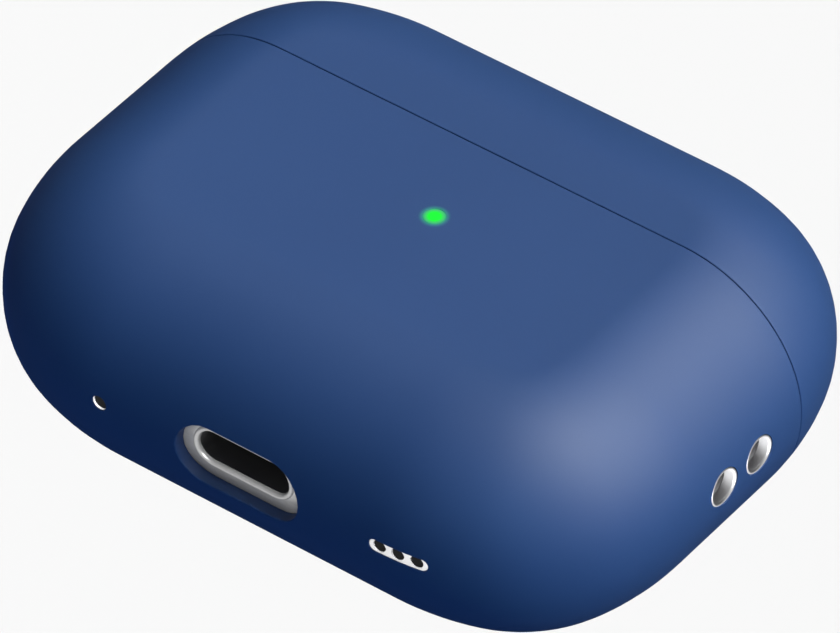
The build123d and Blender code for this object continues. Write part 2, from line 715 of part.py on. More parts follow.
def contact_xs():
    """Each sprung contact's place, by name."""
    return {
        "left_outer": -STEM_X - CONTACT_OFFSET,
        "left_inner": -STEM_X + CONTACT_OFFSET,
        "right_inner": STEM_X - CONTACT_OFFSET,
        "right_outer": STEM_X + CONTACT_OFFSET,
    }


def contact_pin(x):
    """Gold pin: round tip in the well, collar under its floor and tail inside the spring."""
    tip_y = STEM_FLOOR_Y + CONTACT_TRAVEL + 0.1
    shank = rod(CONTACT_RADIUS, (x, COLLAR_BOTTOM, WELL_Z), (x, tip_y, WELL_Z))
    shank = fillet(shank.faces().sort_by(Axis.Y)[-1].edges(), CONTACT_RADIUS - 0.1)
    collar = rod(COLLAR_RADIUS, (x, COLLAR_BOTTOM, WELL_Z), (x, COLLAR_TOP, WELL_Z))
    tail_radius, tail_length = 0.35, 1.2
    tail = rod(tail_radius, (x, COLLAR_BOTTOM - tail_length, WELL_Z), (x, COLLAR_BOTTOM, WELL_Z))
    return shank + collar + tail


def contact_spring(x):
    """Spring round the pin's tail, at its pressed length, with a ridge for each turn."""
    turns, pitch, inner, outer = 4, 0.38, 0.42, 0.66
    top = COLLAR_BOTTOM - 0.02
    part = tube(outer, inner, (x, top - turns * pitch, WELL_Z), (x, top, WELL_Z))
    for turn in range(turns):
        middle = top - (turn + 0.5) * pitch
        part += tube(outer + 0.14, inner, (x, middle - 0.11, WELL_Z), (x, middle + 0.11, WELL_Z))
    return part


def contact_carrier(side):
    """Block under one stem bore that guides its two contacts."""
    half_length, half_width = 3.3, 1.9
    x = side * STEM_X
    part = block((x - half_length, x + half_length), CARRIER_Y, (WELL_Z - half_width, WELL_Z + half_width))
    for offset in (-CONTACT_OFFSET, CONTACT_OFFSET):
        start = (x + offset, CARRIER_Y[0] + 0.5, WELL_Z)
        part -= rod(COLLAR_RADIUS + 0.1, start, (x + offset, CARRIER_Y[1] + 1, WELL_Z))
    return part


def contact_flex():
    """Flat cable from each contact carrier to the main board."""
    half_width, thickness, foot_length = 1.6, 0.15, 1.5
    low, bend = CARRIER_Y[0] - 0.17, MAIN_BOARD_Z - 0.2
    strips = []
    for side in (-1, 1):
        x_range = (side * STEM_X - half_width, side * STEM_X + half_width)
        strip = block(x_range, (low, low + thickness), (WELL_Z, bend))
        strip += block(x_range, (low, low + foot_length), (bend, MAIN_BOARD_Z - 0.02))
        strips.append(strip)
    return strips


# ---- lanyard anchor -------------------------------------------------------------------------------------
ANCHOR_X = (25.6, WIDTH / 2 - INNER_INSET - 0.45)
TUNNEL_X = 27.3
TUNNEL_RADIUS = 1.15


def lanyard_anchor():
    """Metal block inside the right wall: two bores joined by a cross tunnel that a cord goes round."""
    low_y, high_y = EYELET_YS[0] - 2.3, EYELET_YS[1] + 2.3
    body = block(ANCHOR_X, (low_y, high_y), (EYELET_Z - 2.3, EYELET_Z + 2.3))
    part = fillet(body.edges().filter_by(Axis.X), 1.0)
    neck_end = WIDTH / 2 - SHELL_INSET
    for y in EYELET_YS:
        part += rod(EYELET_RADIUS, (ANCHOR_X[0] + 1, y, EYELET_Z), (neck_end, y, EYELET_Z))
    for y in EYELET_YS:
        part -= rod(EYELET_BORE_RADIUS, (ANCHOR_X[0] + 0.6, y, EYELET_Z), (WIDTH, y, EYELET_Z))
    start, end = (TUNNEL_X, EYELET_YS[0], EYELET_Z), (TUNNEL_X, EYELET_YS[1], EYELET_Z)
    return part - rod(TUNNEL_RADIUS, start, end)


# ---- every node -----------------------------------------------------------------------------------------
def build():
    nodes = {
        "sleeve_base": sleeve_base(),
        "sleeve_lid": sleeve_lid(),
        "lid_tape": lid_tape(),
        "light_window": light_window(),
        "eyelet_rings": eyelet_rings(),
        "case_shell": case_shell(),
        "lid_shell": lid_shell(),
        "cradle": cradle(),
        "lid_liner": lid_liner(),
        "hinge_base_leaf": hinge_base_leaf(),
        "hinge_lid_leaf": hinge_lid_leaf(),
        "hinge_pin": hinge_pin(),
        "hinge_base_rivets": rivets("base", BASE_RIVET_Y),
        "hinge_lid_rivets": rivets("lid", LID_RIVET_Y),
        "port_bezel": port_bezel(),
        "port_shell": port_shell(),
        "port_core": port_core(),
        "port_contacts": port_contacts(),
        "port_board": port_board(),
        "port_flex": port_flex(),
        "speaker_grille": speaker_grille(),
        "speaker_mesh": speaker_mesh(),
        "speaker_module": speaker_module(),
        "mic_tube": mic_tube(),
        "mic_mesh": mic_mesh(),
        "microphone": microphone(),
        "status_led": status_led(),
        "light_pipe": light_pipe(),
        "main_board": main_board(),
        "board_chips": board_chips(),
        "board_screws": board_screws(),
        "battery": battery(),
        "battery_flex": battery_flex(),
        "charging_coil": charging_coil(),
        "ferrite_sheet": ferrite_sheet(),
        "hall_sensor": hall_sensor(),
        "base_magnet": base_magnet(),
        "lid_magnet": lid_magnet(),
        "bud_magnets": bud_magnets(),
        "setup_button": setup_button(),
        "switch_plunger": switch_plunger(),
        "tact_switch": tact_switch(),
        "button_board": button_board(),
        "contact_carrier_left": contact_carrier(-1),
        "contact_carrier_right": contact_carrier(1),
        "contact_flex": contact_flex(),
        "lanyard_anchor": lanyard_anchor(),
    }
    for name, x in contact_xs().items():
        nodes[f"contact_pin_{name}"] = contact_pin(x)
        nodes[f"contact_spring_{name}"] = contact_spring(x)
    return nodes


def export_all(nodes):
    os.makedirs("parts", exist_ok=True)
    for name, shape in nodes.items():
        if isinstance(shape, list):
            shape = Compound(children=[solid for part in shape for solid in part.solids()])
        export_step(shape, f"parts/{name}.step")


if __name__ == "__main__":
    export_all(build())
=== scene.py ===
import json
from math import asin, cos, pi, radians, sin, sqrt, tan

import bmesh
import bpy
import numpy as np
from mathutils import Matrix, Quaternion, Vector


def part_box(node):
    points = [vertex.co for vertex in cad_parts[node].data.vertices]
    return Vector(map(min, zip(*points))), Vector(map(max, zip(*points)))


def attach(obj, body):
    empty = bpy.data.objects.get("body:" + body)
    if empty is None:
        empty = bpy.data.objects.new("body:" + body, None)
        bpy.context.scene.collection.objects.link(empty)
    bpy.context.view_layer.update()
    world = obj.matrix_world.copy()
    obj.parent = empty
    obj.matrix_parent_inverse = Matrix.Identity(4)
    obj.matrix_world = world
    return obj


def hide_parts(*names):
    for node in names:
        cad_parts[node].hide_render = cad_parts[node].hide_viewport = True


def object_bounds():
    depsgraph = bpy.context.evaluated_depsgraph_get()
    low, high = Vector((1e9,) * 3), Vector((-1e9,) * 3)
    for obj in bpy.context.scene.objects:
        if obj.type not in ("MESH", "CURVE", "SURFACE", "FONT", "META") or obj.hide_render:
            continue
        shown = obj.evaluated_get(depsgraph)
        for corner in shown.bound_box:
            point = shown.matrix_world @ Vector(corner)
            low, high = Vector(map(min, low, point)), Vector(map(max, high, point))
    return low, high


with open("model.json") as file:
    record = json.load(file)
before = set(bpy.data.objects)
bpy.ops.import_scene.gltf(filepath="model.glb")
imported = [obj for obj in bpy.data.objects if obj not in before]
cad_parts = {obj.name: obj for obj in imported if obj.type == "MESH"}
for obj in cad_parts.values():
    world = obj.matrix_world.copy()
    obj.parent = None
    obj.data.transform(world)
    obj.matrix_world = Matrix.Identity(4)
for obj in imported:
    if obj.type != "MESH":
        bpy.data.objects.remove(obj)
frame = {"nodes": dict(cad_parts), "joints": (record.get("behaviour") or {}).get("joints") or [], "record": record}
cad_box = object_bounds()

MM = 0.001

# ---- sizes of the sleeve, in millimetres, as the frame was built ---------------------------------
low, high = (np.array(corner) / MM for corner in cad_box)
WIDTH, HEIGHT, DEPTH = (float(v) for v in high - low)
MID_Z = DEPTH / 2
EDGE = 11.5                  # radius of the full-round edge
FLAT = MID_Z - EDGE          # half of the straight strip between the two edge rounds
LEAD, TIGHT = 23.0, 14.3     # radii of the outline's corner arcs
LEAD_ANGLE = radians(20)
SLEEVE_WALL = 1.1
HINGE = next(joint for joint in frame["joints"] if joint["name"] == "lid_hinge")
HINGE_Y, HINGE_Z = (v / MM for v in HINGE["pos_m"][1:])
SEAM_GAP = 0.07
RIM_ROUND = 0.10             # rounding of the sleeve's edges at the seam
LIGHT_RADIUS = 0.97
PORT_WINDOW, PORT_WINDOW_Z = (12.0, 5.9), MID_Z - 0.12
SPEAKER_SLOT, SPEAKER_SLOT_Z = (5.4, 1.2), MID_Z + 0.04
MIC_HOLE, LIGHT_HOLE, EYELET_HOLE, BUTTON_WINDOW = 1.36, 1.9, 3.48, 9.6
HINGE_WINDOW, HINGE_WINDOW_CORNER = (28.0, 6.8), 1.6
FLOOR_Z = -120.0             # well below the case, so its shadow stays out of the picture

# ---- how finely the body is drawn ----------------------------------------------------------------
EDGE_ROWS, LEAD_STEPS, TIGHT_STEPS = 37, 9, 21
LOWER_LEAD_STEPS, SIDE_STEPS, STRAIGHT_STEPS = 5, 13, 25
RIM_STEPS = 6

# ---- centres of the outline's arcs ---------------------------------------------------------------
TIGHT_X = WIDTH / 2 - LEAD + (LEAD - TIGHT) * cos(LEAD_ANGLE)
TIGHT_Y = HEIGHT / 2 - LEAD + (LEAD - TIGHT) * cos(LEAD_ANGLE)
SIDE_X = TIGHT_X - (LEAD - TIGHT) * cos(LEAD_ANGLE)
SIDE_Y = TIGHT_Y - (LEAD - TIGHT) * sin(LEAD_ANGLE)
END_X = TIGHT_X - (LEAD - TIGHT) * sin(LEAD_ANGLE)
END_Y = TIGHT_Y - (LEAD - TIGHT) * cos(LEAD_ANGLE)


def centre_mm(node):
    a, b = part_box(node)
    return (a + b) / 2 / MM


# ---- meshes --------------------------------------------------------------------------------------
def mesh_object(name, points, faces):
    """Mesh from points in millimetres, with its faces turned outwards."""
    mesh = bpy.data.meshes.new(name)
    mesh.from_pydata([tuple(p) for p in points], [], faces)
    work = bmesh.new()
    work.from_mesh(mesh)
    bmesh.ops.remove_doubles(work, verts=work.verts, dist=1e-5)
    bmesh.ops.recalc_face_normals(work, faces=work.faces)
    work.to_mesh(mesh)
    work.free()
    obj = bpy.data.objects.new(name, mesh)
    bpy.context.collection.objects.link(obj)
    return obj


def arc(centre, radius, start, end, count):
    angles = np.linspace(start, end, count)
    return [(centre[0] + radius * cos(a), centre[1] + radius * sin(a)) for a in angles]


def corner_path(drawn_in, start):
    """The first-quadrant corner from an angle on its side lead arc up to the end's straight."""
    points = arc((SIDE_X, SIDE_Y), LEAD - drawn_in, start, LEAD_ANGLE, LEAD_STEPS)
    points += arc((TIGHT_X, TIGHT_Y), TIGHT - drawn_in, LEAD_ANGLE, pi / 2 - LEAD_ANGLE, TIGHT_STEPS)[1:]
    points += arc((END_X, END_Y), LEAD - drawn_in, pi / 2 - LEAD_ANGLE, pi / 2, LEAD_STEPS)[1:]
    return points


def rim_angle(drawn_in, y):
    return asin((y - SIDE_Y) / (LEAD - drawn_in))


def half_path(drawn_in, y, direction):
    """Outline drawn in, from the rim's right end round the far end to the rim's left end."""
    start = rim_angle(drawn_in, y)
    if direction > 0:
        right = corner_path(drawn_in, start)
    else:
        side = WIDTH / 2 - drawn_in
        right = arc((SIDE_X, SIDE_Y), LEAD - drawn_in, start, 0, LOWER_LEAD_STEPS)
        right += [(side, v) for v in np.linspace(SIDE_Y, -SIDE_Y, SIDE_STEPS)[1:-1]]
        right += [(x, -v) for x, v in corner_path(drawn_in, 0)]
    straight = [(x, right[-1][1]) for x in np.linspace(END_X, -END_X, STRAIGHT_STEPS)[1:-1]]
    return right + straight + [(-x, v) for x, v in reversed(right)]


def edge_rows(inset):
    """How far each row of the round edge is drawn in, and its height, from back to front."""
    rows = []
    for angle in np.linspace(-pi / 2, pi / 2, EDGE_ROWS):
        strip = FLAT if angle > 0 else -FLAT
        if abs(angle) < 1e-6:
            strip = 0.0
        radius = EDGE - inset
        rows.append((inset + radius * (1 - cos(angle)), MID_Z + strip + radius * sin(angle)))
    return rows


def rim_ring(inset, y):
    """Closed ring of the body drawn in by inset, cut at height y."""
    rows = edge_rows(inset)
    right = []
    for drawn_in, z in rows:
        angle = rim_angle(drawn_in, y)
        right.append((SIDE_X + (LEAD - drawn_in) * cos(angle), y, z))
    xs = np.linspace(right[-1][0], -right[-1][0], STRAIGHT_STEPS)[1:-1]
    front = [(x, y, DEPTH - inset) for x in xs]
    left = [(-x, v, z) for x, v, z in reversed(right)]
    back = [(-x, y, inset) for x in xs]
    return right + front + left + back


def half_body(name, inset, wall, rim_y, direction, rounding):
    """Closed shell of one half of the rounded body, with a rounded rim at the seam."""
    points, faces = [], []

    def surface(skin_inset, y):
        base = len(points)
        rows = edge_rows(skin_inset)
        count = 0
        for drawn_in, z in rows:
            path = half_path(drawn_in, y, direction)
            count = len(path)
            points.extend((x, v, z) for x, v in path)
        for row in range(len(rows) - 1):
            for column in range(count - 1):
                a = base + row * count + column
                faces.append((a, a + 1, a + count + 1, a + count))
        for row, z in ((0, skin_inset), (len(rows) - 1, DEPTH - skin_inset)):
            first = base + row * count
            end = points[first][0]
            line = len(points)
            xs = np.linspace(-end, end, STRAIGHT_STEPS)[1:-1]
            points.extend((x, y, z) for x in xs)
            faces.append(tuple(range(first, first + count)) + tuple(range(line, line + len(xs))))

    round_y = rim_y + direction * rounding
    surface(inset, round_y)
    surface(inset + wall, round_y)
    turns = [pi / 2 * step / RIM_STEPS for step in range(RIM_STEPS + 1)]
    profile = [(rounding * (1 - cos(t)), rim_y + direction * rounding * (1 - sin(t))) for t in turns]
    profile += [(wall - offset, y) for offset, y in reversed(profile)]
    rings = []
    for offset, y in profile:
        ring = rim_ring(inset + offset, y)
        rings.append((len(points), len(ring)))
        points.extend(ring)
    for (one, count), (two, _) in zip(rings, rings[1:]):
        for i in range(count):
            j = (i + 1) % count
            faces.append((one + i, one + j, two + j, two + i))
    return mesh_object(name, points, faces)


# ---- cutters -------------------------------------------------------------------------------------
def stadium(length, height, grow=0.0, steps=12):
    """Round-ended outline about the origin, or a circle where the two sizes are the same."""
    radius = height / 2 + grow
    half = (length - height) / 2
    turns = np.linspace(-pi / 2, pi / 2, steps + 1)
    right = [(half + radius * cos(t), radius * sin(t)) for t in turns]
    middle = [] if half < 1e-6 else [(x, radius) for x in np.linspace(half, -half, 9)[1:-1]]
    left = [(-u, -v) for u, v in right]
    other = [(-u, -v) for u, v in middle]
    if half < 1e-6:
        return right[:-1] + left[:-1]
    return right + middle + left + other


def rounded_rectangle(length, height, corner, grow=0.0):
    points = []
    quarter = np.linspace(0, pi / 2, 7)
    for number, (sx, sy) in enumerate(((1, 1), (-1, 1), (-1, -1), (1, -1))):
        for t in quarter:
            a = t + number * pi / 2
            u = sx * (length / 2 - corner) + (corner + grow) * cos(a)
            v = sy * (height / 2 - corner) + (corner + grow) * sin(a)
            points.append((u, v))
    return points


def skin_bottom(x, z, depth):
    """Point of the bottom face at this x and z, a given depth under the sleeve's surface."""
    radius = EDGE - depth
    rise = max(abs(z - MID_Z) - FLAT, 0.0)
    drawn_in = depth + radius - sqrt(radius ** 2 - rise ** 2)
    if abs(x) <= END_X:
        return (x, drawn_in - HEIGHT / 2, z)
    return (x, -END_Y - sqrt((LEAD - drawn_in) ** 2 - (abs(x) - END_X) ** 2), z)


def skin_right(y, z, depth):
    radius = EDGE - depth
    rise = max(abs(z - MID_Z) - FLAT, 0.0)
    return (WIDTH / 2 - depth - radius + sqrt(radius ** 2 - rise ** 2), y, z)


def skin_front(x, y, depth):
    return (x, y, DEPTH - depth)


def skin_back(x, y, depth):
    return (x, y, depth)


def lip_profile(rounding, reach, steps=5):
    """Outward growth and depth of a hole's rounded lip, from above the surface to far inside."""
    first = radians(20)
    turns = np.linspace(first, pi / 2, steps)
    profile = [(rounding * (1 - sin(t)), rounding * (1 - cos(t))) for t in turns]
    above, top = 0.1, 1.5
    grow, depth = profile[0]
    flare = grow + (above + depth) * cos(first) / sin(first)
    return [(flare, -top), (flare, -above)] + profile + [(0.0, reach)]


def hole_cutter(name, outline, centre, skin, rounding=0.18, reach=2.2):
    """Cutter for a hole whose lip is rounded where it meets the curved surface."""
    points, faces = [], []
    for grow, depth in lip_profile(rounding, reach):
        ring = outline(grow)
        points.extend(skin(centre[0] + u, centre[1] + v, depth) for u, v in ring)
    count = len(outline(0.0))
    rings = len(points) // count
    for k in range(rings - 1):
        for i in range(count):
            j = (i + 1) % count
            a, b = k * count, (k + 1) * count
            faces.append((a + i, a + j, b + j, b + i))
    faces.append(tuple(range(count)))
    faces.append(tuple(range((rings - 1) * count, rings * count)))
    return mesh_object(name, points, faces)


def groove_cutter():
    """V along the back of the seam, with eased edges at the surface."""
    lid_travel, stop_gap, below = HINGE["range_deg"][1], 3.0, 1.0
    slope = tan(radians((180 - lid_travel - stop_gap) / 2))
    ease = 0.15
    at_skin = (HINGE_Z - ease) / slope
    wide = at_skin + ease / slope + 2.2 * (below + ease)
    profile = [(0, HINGE_Z), (at_skin, ease), (wide, -below), (-wide, -below), (-at_skin, ease)]
    points = [(x, HINGE_Y + v, z) for x in (-WIDTH, WIDTH) for v, z in profile]
    count = len(profile)
    faces = [(i, (i + 1) % count, count + (i + 1) % count, count + i) for i in range(count)]
    faces += [tuple(range(count)), tuple(range(count, 2 * count))]
    return mesh_object("groove_cutter", points, faces)


def cut(obj, cutters):
    """Takes the cutters out of obj, one at a time."""
    for cutter in cutters:
        modifier = obj.modifiers.new("cut", "BOOLEAN")
        modifier.operation, modifier.solver, modifier.object = "DIFFERENCE", "EXACT", cutter
        with bpy.context.temp_override(object=obj, active_object=obj):
            bpy.ops.object.modifier_apply(modifier="cut")


def discard(objects):
    for obj in objects:
        bpy.data.objects.remove(obj)


# ---- true surface normals ------------------------------------------------------------------------
def body_normals(points):
    """Outward normals of the rounded body for points on it or on any body parallel to it."""
    x, y, z = points.T
    ax, ay = np.abs(x), np.abs(y)
    side = np.arctan2(ay - SIDE_Y, ax - SIDE_X)
    end = np.arctan2(ay - END_Y, ax - END_X)
    tight = np.arctan2(ay - TIGHT_Y, ax - TIGHT_X)
    angle = np.clip(tight, LEAD_ANGLE, pi / 2 - LEAD_ANGLE)
    on_side = (tight < LEAD_ANGLE) & (side <= LEAD_ANGLE)
    on_end = (tight > pi / 2 - LEAD_ANGLE) & (end >= pi / 2 - LEAD_ANGLE)
    angle = np.where(on_side, np.maximum(side, 0), angle)
    angle = np.where(on_end, np.minimum(end, pi / 2), angle)
    nx, ny = np.cos(angle), np.sin(angle)
    px = np.where(on_side, SIDE_X, np.where(on_end, END_X, TIGHT_X))
    py = np.where(on_side, SIDE_Y, np.where(on_end, END_Y, TIGHT_Y))
    reach = np.where(on_side | on_end, LEAD, TIGHT)
    along = (ax - px) * nx + (ay - py) * ny
    drawn_in = reach - along
    out = np.maximum(EDGE - drawn_in, 0)
    rise = np.maximum(np.abs(z - MID_Z) - FLAT, 0) * np.sign(z - MID_Z)
    normals = np.stack([nx * np.sign(x) * out, ny * np.sign(y) * out, rise], axis=1)
    return normals / np.linalg.norm(normals, axis=1, keepdims=True)


def set_true_normals(obj):
    """Shades the body's curved faces with its exact normals, and every other face smoothly by angle."""
    mesh = obj.data
    for polygon in mesh.polygons:
        polygon.use_smooth = True
    mesh.set_sharp_from_angle(angle=radians(35))
    mesh.update()
    corners = np.array([tuple(n.vector) for n in mesh.corner_normals])
    loops = np.array([loop.vertex_index for loop in mesh.loops])
    places = np.array([tuple(v.co) for v in mesh.vertices])
    true = body_normals(places)
    close, near = cos(radians(7)), cos(radians(14))
    for polygon in mesh.polygons:
        span = list(polygon.loop_indices)
        wanted = true[loops[span]]
        facing = wanted @ np.array(polygon.normal)
        if abs(facing.mean()) > close and np.abs(facing).min() > near:
            corners[span] = wanted * np.sign(facing.mean())
    mesh.normals_split_custom_set([tuple(n) for n in corners])


def finish_piece(obj, body, material, *nodes, slot=None):
    """Brings a millimetre mesh to metres, gives it its material, ties it to its body and hides the CAD nodes it
    stands for.
    """
    obj.data.transform(Matrix.Scale(MM, 4))
    obj.data.materials.clear()
    obj.data.materials.append(material)
    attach(obj, body)
    if nodes:
        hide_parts(*nodes)
    return obj


# ---- materials -----------------------------------------------------------------------------------
def new_material(name):
    material = bpy.data.materials.new(name)
    material.use_nodes = True
    nodes = material.node_tree.nodes
    return material, nodes, material.node_tree.links, nodes["Principled BSDF"]


def surface_detail(nodes, links, shader, colours, scale, roughness, bump, detail=4.0, stretch=(1, 1, 1)):
    """Noise-driven colour, roughness and bump on one shader. Colours and roughness are (low, high)."""
    place = nodes.new("ShaderNodeTexCoord")
    mapping = nodes.new("ShaderNodeMapping")
    mapping.inputs["Scale"].default_value = stretch
    links.new(place.outputs["Object"], mapping.inputs["Vector"])
    noise = nodes.new("ShaderNodeTexNoise")
    noise.inputs["Scale"].default_value = scale
    noise.inputs["Detail"].default_value = detail
    links.new(mapping.outputs["Vector"], noise.inputs["Vector"])
    ramp = nodes.new("ShaderNodeValToRGB")
    ramp.color_ramp.elements[0].position, ramp.color_ramp.elements[1].position = 0.3, 0.7
    ramp.color_ramp.elements[0].color = (*colours[0], 1)
    ramp.color_ramp.elements[1].color = (*colours[1], 1)
    links.new(noise.outputs["Fac"], ramp.inputs["Fac"])
    links.new(ramp.outputs["Color"], shader.inputs["Base Color"])
    rough = nodes.new("ShaderNodeMapRange")
    rough.inputs["To Min"].default_value, rough.inputs["To Max"].default_value = roughness
    links.new(noise.outputs["Fac"], rough.inputs["Value"])
    links.new(rough.outputs["Result"], shader.inputs["Roughness"])
    grain = nodes.new("ShaderNodeTexNoise")
    grain.inputs["Scale"].default_value = bump[0]
    grain.inputs["Detail"].default_value = 3.0
    links.new(mapping.outputs["Vector"], grain.inputs["Vector"])
    height = nodes.new("ShaderNodeBump")
    height.inputs["Distance"].default_value = bump[1]
    height.inputs["Strength"].default_value = bump[2]
    links.new(grain.outputs["Fac"], height.inputs["Height"])
    links.new(height.outputs["Normal"], shader.inputs["Normal"])


def add_glow(nodes, links, shader):
    """Painted green glow in the silicone about the status light: an emission halo that stands in for its light."""
    light = centre_mm("light_window")
    place = nodes.new("ShaderNodeTexCoord")
    away = nodes.new("ShaderNodeVectorMath")
    away.operation = "DISTANCE"
    away.inputs[1].default_value = (light.x * MM, light.y * MM, DEPTH * MM)
    links.new(place.outputs["Object"], away.inputs[0])
    # painted glow: emission fades out between 0.8 and 1.35 mm from the light
    glow = nodes.new("ShaderNodeMapRange")
    glow.interpolation_type = "SMOOTHSTEP"
    glow.inputs["From Min"].default_value, glow.inputs["From Max"].default_value = 0.8 * MM, 1.35 * MM
    glow.inputs["To Min"].default_value, glow.inputs["To Max"].default_value = 0.24, 0.0
    links.new(away.outputs["Value"], glow.inputs["Value"])
    links.new(glow.outputs["Result"], shader.inputs["Emission Strength"])
    shader.inputs["Emission Color"].default_value = (0.05, 1.0, 0.2, 1)


def silicone():
    material, nodes, links, shader = new_material("silicone_blue")
    deep, pale = (0.0085, 0.040, 0.134), (0.0090, 0.042, 0.139)
    surface_detail(nodes, links, shader, (deep, pale), 60, (0.58, 0.64), (5200, 0.00001, 0.15))
    shader.inputs["Specular IOR Level"].default_value = 0.65
    # painted green glow of the status light on the silicone
    add_glow(nodes, links, shader)
    return material


def white_plastic(name, tone, roughness):
    material, nodes, links, shader = new_material(name)
    low_tone = tuple(0.97 * v for v in tone)
    surface_detail(nodes, links, shader, (low_tone, tone), 45, roughness, (900, 0.00001, 0.12))
    shader.inputs["Coat Weight"].default_value = 0.25
    shader.inputs["Coat Roughness"].default_value = 0.08
    return material


def metal(name, tone, roughness, brushed=(1, 1, 1), bump=0.15, metallic=1.0):
    material, nodes, links, shader = new_material(name)
    low_tone = tuple(0.9 * v for v in tone)
    grain = (2500, 0.00001, bump)
    surface_detail(nodes, links, shader, (low_tone, tone), 700, roughness, grain, stretch=brushed)
    shader.inputs["Metallic"].default_value = metallic
    return material


def dull(name, tone, roughness=(0.5, 0.65), scale=300, bump=0.2):
    material, nodes, links, shader = new_material(name)
    low_tone = tuple(0.85 * v for v in tone)
    surface_detail(nodes, links, shader, (low_tone, tone), scale, roughness, (1800, 0.00001, bump))
    return material


def status_green():
    """Lit plug: a bright green heart that fades to a dim rim."""
    material, nodes, links, shader = new_material("light_green")
    place = nodes.new("ShaderNodeTexCoord")
    mapping = nodes.new("ShaderNodeMapping")
    centre = centre_mm("light_window") * MM
    mapping.inputs["Location"].default_value = (-centre.x, -centre.y, 0)
    mapping.vector_type = "POINT"
    links.new(place.outputs["Object"], mapping.inputs["Vector"])
    flat = nodes.new("ShaderNodeVectorMath")
    flat.operation = "MULTIPLY"
    flat.inputs[1].default_value = (1, 1, 0)
    links.new(mapping.outputs["Vector"], flat.inputs[0])
    distance = nodes.new("ShaderNodeVectorMath")
    distance.operation = "LENGTH"
    links.new(flat.outputs["Vector"], distance.inputs[0])
    share = nodes.new("ShaderNodeMapRange")
    share.inputs["From Max"].default_value = LIGHT_RADIUS * MM
    links.new(distance.outputs["Value"], share.inputs["Value"])
    ramp = nodes.new("ShaderNodeValToRGB")
    heart, rim = ramp.color_ramp.elements
    heart.position, heart.color = 0.50, (0.0, 0.95, 0.005, 1)
    rim.position, rim.color = 1.0, (0.02, 0.26, 0.18, 1)
    fade = ramp.color_ramp.elements.new(0.78)
    fade.color = (0.05, 0.55, 0.13, 1)
    links.new(share.outputs["Result"], ramp.inputs["Fac"])
    links.new(ramp.outputs["Color"], shader.inputs["Emission Color"])
    shader.inputs["Emission Strength"].default_value = 1.0
    shader.inputs["Specular IOR Level"].default_value = 0.1
    deep, pale = (0.01, 0.03, 0.03), (0.012, 0.034, 0.034)
    surface_detail(nodes, links, shader, (deep, pale), 60, (0.5, 0.6), (5200, 0.00001, 0.1))
    return material


def make_materials():
    white = (0.72, 0.72, 0.73)
    return {
        "silicone_blue": silicone(),
        "white_gloss": white_plastic("white_gloss", white, (0.16, 0.24)),
        # white_gloss in a lighter tone: painted light for the grille and microphone tube, which get little light
        "white_gloss_painted_lit": white_plastic("white_gloss_painted_lit", (0.84, 0.84, 0.85), (0.16, 0.24)),
        "white_satin": white_plastic("white_satin", (0.58, 0.58, 0.59), (0.30, 0.40)),
        "polished_steel": metal("polished_steel", (0.46, 0.46, 0.47), (0.26, 0.36), metallic=0.6),
        "satin_steel": metal("satin_steel", (0.66, 0.66, 0.66), (0.34, 0.46)),
        "black_plastic": dull("black_plastic", (0.004, 0.004, 0.004), (0.7, 0.8)),
        # black plastic in a lighter grey: painted light in the port's throat, where little light reaches
        "black_plastic_painted_lit": dull("black_plastic_painted_lit", (0.20, 0.20, 0.205), (0.5, 0.6)),
        "board_green": dull("board_green", (0.01, 0.10, 0.045), (0.35, 0.5)),
        "chip_black": dull("chip_black", (0.018, 0.018, 0.02)),
        "flex_amber": dull("flex_amber", (0.35, 0.14, 0.02), (0.3, 0.45)),
        "port_metal": metal("port_metal", (0.61, 0.61, 0.61), (0.30, 0.44), (1, 6, 6), 0.3, 0.5),
        "gold": metal("gold", (0.90, 0.62, 0.22), (0.15, 0.25)),
        "copper": metal("copper", (0.75, 0.32, 0.18), (0.3, 0.4)),
        "ferrite_grey": dull("ferrite_grey", (0.03, 0.03, 0.032)),
        "battery_foil": metal("battery_foil", (0.6, 0.6, 0.61), (0.35, 0.5)),
        "magnet_nickel": metal("magnet_nickel", (0.66, 0.64, 0.6), (0.2, 0.3)),
        "light_green": status_green(),
        "clear_pipe": dull("clear_pipe", (0.75, 0.85, 0.78), (0.1, 0.2)),
        "tape_white": dull("tape_white", (0.7, 0.7, 0.66)),
    }


def paint_cad_nodes(materials):
    for row in frame["record"]["subparts"]:
        node = frame["nodes"][row["node"]]
        node.data.materials.clear()
        node.data.materials.append(materials[row["material_slot"]])


# ---- the sleeve ----------------------------------------------------------------------------------
def sleeve_cutters():
    """Holes of the sleeve's base, each where its CAD piece is, with rounded lips."""
    grille = centre_mm("speaker_grille")
    microphone = centre_mm("mic_mesh")
    light = centre_mm("light_window")
    button = centre_mm("setup_button")
    rows = [
        ("port", PORT_WINDOW, (0, PORT_WINDOW_Z), skin_bottom, 0.16, 12),
        ("slot", SPEAKER_SLOT, (grille.x, SPEAKER_SLOT_Z), skin_bottom, 0.05, 12),
        ("mic", (MIC_HOLE, MIC_HOLE), (microphone.x, microphone.z), skin_bottom, 0.04, 12),
        ("light", (LIGHT_HOLE, LIGHT_HOLE), (light.x, light.y), skin_front, 0.02, 12),
        ("button", (BUTTON_WINDOW, BUTTON_WINDOW), (button.x, button.y), skin_back, 0.25, 32),
    ]
    for y in eyelet_ys():
        rows.append(("eyelet", (EYELET_HOLE, EYELET_HOLE), (y, eyelet_z()), skin_right, 0.05, 24))
    return [
        hole_cutter(name, lambda grow: stadium(*size, grow, steps), centre, skin, rounding)
        for name, size, centre, skin, rounding, steps in rows
    ]


def eyelet_z():
    return centre_mm("eyelet_rings").z


def eyelet_ys():
    a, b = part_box("eyelet_rings")
    radius = (b.z - a.z) / 2
    return ((a.y + radius) / MM, (b.y - radius) / MM)


def hinge_window_cutter():
    def outline(grow):
        return rounded_rectangle(*HINGE_WINDOW, HINGE_WINDOW_CORNER, grow)

    return hole_cutter("hinge_window", outline, (0, HINGE_Y), skin_back, 0.25)


